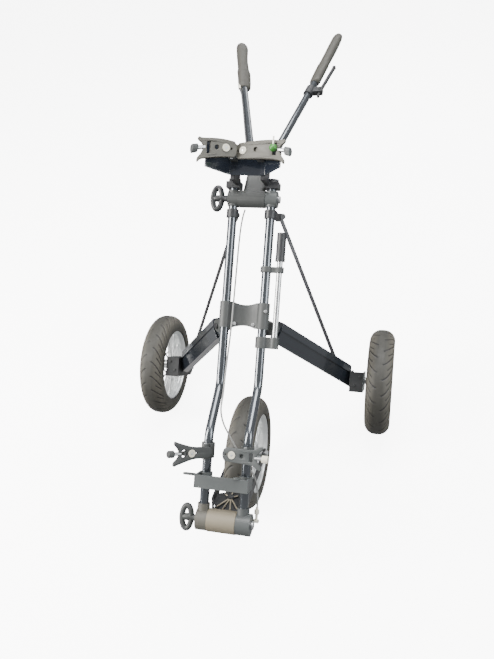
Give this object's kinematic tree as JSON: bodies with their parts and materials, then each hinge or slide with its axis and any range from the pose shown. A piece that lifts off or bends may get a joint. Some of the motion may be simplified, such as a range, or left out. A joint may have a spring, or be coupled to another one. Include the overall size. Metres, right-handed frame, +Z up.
{
  "type": "golf push cart",
  "caption": "Folding three-wheeled golf push cart with twin main tubes, braced rear legs, a swing-under front wheel, an adjustable V handle and swinging bag arms.",
  "frame": {"origin": "on the ground, midway between the wheels' outer faces, under the middle of the cart's length", "axes": "+X to the cart's left hand side as it faces -Y, +Y back towards the person who pushes, +Z up"},
  "size_m": [0.734, 1.2504, 0.9397],
  "materials": {
    "tube": "glossy dark gunmetal enamel",
    "bracket": "matte dark grey, lightly grained",
    "hinge_cast": "matte warm grey moulding",
    "arm_plastic": "matte warm grey, scuffed",
    "saddle": "glossy blue-black sheet",
    "dark_plastic": "matte near-black",
    "grip": "soft black-grey rubber",
    "steel": "zinc-plated steel",
    "leg": "glossy navy-black enamel",
    "black_steel": "satin black enamel",
    "umbrella": "bright drawn tube",
    "cable": "silver-grey outer casing",
    "ivory": "ivory moulding",
    "tyre": "dusty grey-black rubber",
    "rim": "silver lacquer"
  },
  "bodies": {
    "frame": {"main_tube_left": "tube", "main_tube_right": "tube", "mid_bracket": "bracket", "bracket_screws": "steel", "leg_pins": "steel", "upper_clamp_left": "bracket", "upper_clamp_right": "bracket", "upper_bolt": "steel", "saddle_bracket": "dark_plastic", "saddle": "saddle", "lower_clamp_left": "hinge_cast", "lower_clamp_right": "hinge_cast", "lower_bolt": "steel", "arm_clamps": "bracket", "arm_pins": "steel", "shelf": "arm_plastic", "umbrella_brackets": "bracket", "brake_cable": "cable", "cable_adjuster": "ivory"},
    "upper_clamp_knob": {"upper_knob": "bracket"},
    "lower_clamp_knob": {"lower_knob": "hinge_cast"},
    "handle": {"upper_barrel": "hinge_cast", "handle_tube_left": "tube", "handle_tube_right": "tube", "grip_left": "grip", "grip_right": "grip", "brake_perch": "dark_plastic"},
    "lever": {"brake_lever": "black_steel"},
    "wing_left": {"upper_wing_left": "arm_plastic"},
    "wing_right": {"upper_wing_right": "arm_plastic"},
    "arm_left": {"lower_arm_left": "arm_plastic"},
    "arm_right": {"lower_arm_right": "arm_plastic"},
    "umbrella_pole": {"umbrella_tube": "umbrella", "umbrella_socket": "bracket"},
    "collar": {"stay_collar": "bracket", "stay_pins": "steel"},
    "left_stay": {"stay_left": "black_steel"},
    "right_stay": {"stay_right": "black_steel"},
    "left_leg": {"leg_left": "leg", "axle_shoe_left": "black_steel", "axle_left": "steel"},
    "right_leg": {"leg_right": "leg", "axle_shoe_right": "black_steel", "axle_right": "steel"},
    "fork": {"fork_barrel": "hinge_cast", "fork_arms": "black_steel", "fork_web": "dark_plastic", "front_axle": "steel"},
    "left_wheel": {"tyre_left": "tyre", "rim_left": "rim", "hub_left": "rim", "spokes_left": "rim"},
    "right_wheel": {"tyre_right": "tyre", "rim_right": "rim", "hub_right": "rim", "spokes_right": "rim"},
    "front_wheel": {"tyre_front": "tyre", "rim_front": "rim", "hub_front": "rim", "spokes_front": "rim"}
  },
  "joints": [
    {"name": "collar_slide", "type": "slide", "parent": "frame", "child": "collar", "axis": [0, -0.7071, -0.7071], "range_m": [0, 0.11175]},
    {"name": "right_leg_fold", "type": "hinge", "parent": "frame", "child": "right_leg", "pos_m": [0.064, -0.19988, 0.49403], "axis": [-0.7646, 0.5935, -0.2513], "range_deg": [0, 46]},
    {"name": "left_leg_fold", "type": "hinge", "parent": "frame", "child": "left_leg", "pos_m": [-0.064, -0.19988, 0.49403], "axis": [-0.7646, -0.5935, 0.2513], "range_deg": [0, 46]},
    {"name": "right_stay_turn", "type": "hinge", "parent": "collar", "child": "right_stay", "pos_m": [0.057, 0.03983, 0.66303], "axis": [-0.6158, 0.6564, -0.4357], "range_deg": [0, 20.91]},
    {"name": "left_stay_turn", "type": "hinge", "parent": "collar", "child": "left_stay", "pos_m": [-0.057, 0.03983, 0.66303], "axis": [-0.6158, -0.6564, 0.4357], "range_deg": [0, 20.91]},
    {"name": "fork_fold", "type": "hinge", "parent": "frame", "child": "fork", "pos_m": [0, -0.59657, 0.23594], "axis": [-1, 0, 0], "range_deg": [0, 145]},
    {"name": "handle_angle", "type": "hinge", "parent": "frame", "child": "handle", "pos_m": [0, 0.00094, 0.73728], "axis": [-1, 0, 0], "range_deg": [-10, 88]},
    {"name": "upper_knob_turn", "type": "hinge", "parent": "frame", "child": "upper_clamp_knob", "pos_m": [-0.07, 0.00094, 0.73728], "axis": [1, 0, 0], "continuous": true},
    {"name": "lower_knob_turn", "type": "hinge", "parent": "frame", "child": "lower_clamp_knob", "pos_m": [-0.07, -0.59657, 0.23594], "axis": [1, 0, 0], "continuous": true},
    {"name": "brake_lever_pull", "type": "hinge", "parent": "handle", "child": "lever", "pos_m": [0.12071, 0.38314, 0.84127], "axis": [-0.0698, -0.2413, 0.9679], "range_deg": [0, 7], "stiffness_Nm_per_rad": 0.6, "springref_deg": -17.19},
    {"name": "wing_left_swing", "type": "hinge", "parent": "frame", "child": "wing_left", "pos_m": [-0.032, -0.01108, 0.87516], "axis": [0, 0.7071, 0.7071], "range_deg": [-18, 8]},
    {"name": "wing_right_swing", "type": "hinge", "parent": "frame", "child": "wing_right", "pos_m": [0.032, -0.01108, 0.87516], "axis": [0, 0.7071, 0.7071], "range_deg": [-20, 0]},
    {"name": "arm_left_swing", "type": "hinge", "parent": "frame", "child": "arm_left", "pos_m": [-0.048, -0.49899, 0.37029], "axis": [0, 0.7071, 0.7071], "range_deg": [-45, 40]},
    {"name": "arm_right_swing", "type": "hinge", "parent": "frame", "child": "arm_right", "pos_m": [0.048, -0.49899, 0.37029], "axis": [0, 0.7071, 0.7071], "range_deg": [-20, 25]},
    {"name": "umbrella_slide", "type": "slide", "parent": "frame", "child": "umbrella_pole", "axis": [0, 0.7071, 0.7071], "range_m": [0, 0.05]},
    {"name": "left_wheel_spin", "type": "hinge", "parent": "left_leg", "child": "left_wheel", "pos_m": [-0.331, -0.04078, 0.1525], "axis": [1, 0, 0], "continuous": true},
    {"name": "right_wheel_spin", "type": "hinge", "parent": "right_leg", "child": "right_wheel", "pos_m": [0.331, -0.04078, 0.1525], "axis": [1, 0, 0], "continuous": true},
    {"name": "front_wheel_spin", "type": "hinge", "parent": "fork", "child": "front_wheel", "pos_m": [0, -0.33635, 0.1525], "axis": [1, 0, 0], "continuous": true}
  ],
  "couplings": [
    {"joint": "right_leg_fold", "follows": "collar_slide", "rad_per_m": 7.1842},
    {"joint": "left_leg_fold", "follows": "collar_slide", "rad_per_m": 7.1842},
    {"joint": "right_stay_turn", "follows": "collar_slide", "rad_per_m": 3.2656},
    {"joint": "left_stay_turn", "follows": "collar_slide", "rad_per_m": 3.2656}
  ]
}
